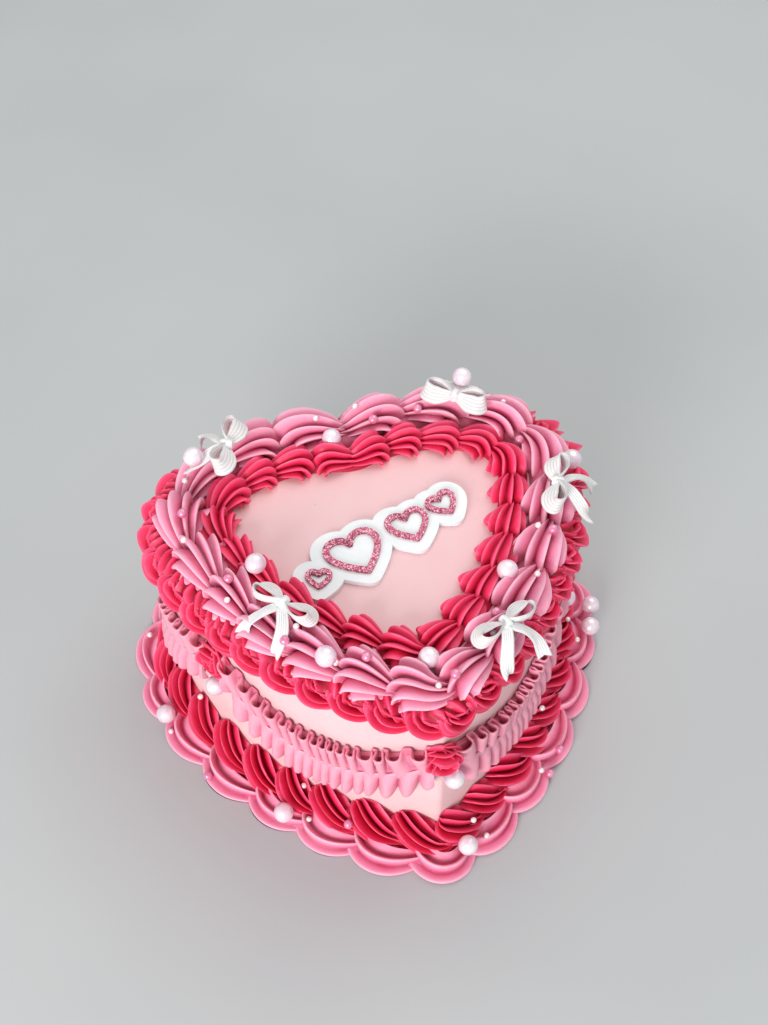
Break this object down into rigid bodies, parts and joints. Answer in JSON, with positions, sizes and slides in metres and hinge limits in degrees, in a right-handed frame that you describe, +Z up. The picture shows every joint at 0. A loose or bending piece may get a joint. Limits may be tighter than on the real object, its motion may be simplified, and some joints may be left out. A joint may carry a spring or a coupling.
{
  "type": "heart cake",
  "caption": "Heart-shaped iced celebration cake with piped shell borders top and bottom, ruffle swags round the side, ribbon bows, pearls and a heart plaque.",
  "frame": {"origin": "on the table under the middle of the whole cake's plan", "axes": "+Z up; the point of the heart faces -Y and the notch +Y; +X to the right of the point as seen from the front"},
  "size_m": [0.2182, 0.2034, 0.1239],
  "materials": {
    "pale_icing": "smooth, satin",
    "hot_pink_icing": "soft satin",
    "rose_pink_icing": "soft satin",
    "swag_icing": "soft satin",
    "sugar_pearl": "pearlescent gloss",
    "white_ribbon": "fine ribbed, satin",
    "white_plaque": "smooth, slight gloss",
    "rose_glitter": "fine glitter"
  },
  "bodies": {
    "root": {"cake_body": "pale_icing", "inner_border": "hot_pink_icing", "main_border": "rose_pink_icing", "outer_border": "hot_pink_icing", "base_border": "hot_pink_icing", "base_scallops": "rose_pink_icing", "swag_1": "swag_icing", "swag_2": "swag_icing", "swag_3": "swag_icing", "swag_4": "swag_icing", "swag_5": "swag_icing", "rosette_1": "hot_pink_icing", "rosette_2": "hot_pink_icing", "rosette_3": "hot_pink_icing", "rosette_4": "hot_pink_icing", "rosette_5": "hot_pink_icing", "bow_1": "white_ribbon", "bow_2": "white_ribbon", "bow_3": "white_ribbon", "bow_4": "white_ribbon", "bow_5": "white_ribbon", "pearl_01": "sugar_pearl", "pearl_02": "sugar_pearl", "pearl_03": "sugar_pearl", "pearl_04": "sugar_pearl", "pearl_05": "sugar_pearl", "pearl_06": "sugar_pearl", "pearl_07": "sugar_pearl", "pearl_08": "sugar_pearl", "pearl_09": "sugar_pearl", "pearl_10": "sugar_pearl", "pearl_11": "sugar_pearl", "pearl_12": "sugar_pearl", "pearl_13": "sugar_pearl", "pearl_14": "sugar_pearl", "pearl_15": "sugar_pearl", "pearl_16": "sugar_pearl", "pearl_17": "sugar_pearl", "pearl_18": "sugar_pearl", "pearl_19": "sugar_pearl", "pearl_20": "sugar_pearl", "plaque": "white_plaque", "plaque_heart_1": "rose_glitter", "plaque_heart_2": "rose_glitter", "plaque_heart_3": "rose_glitter", "plaque_heart_4": "rose_glitter"}
  },
  "joints": []
}
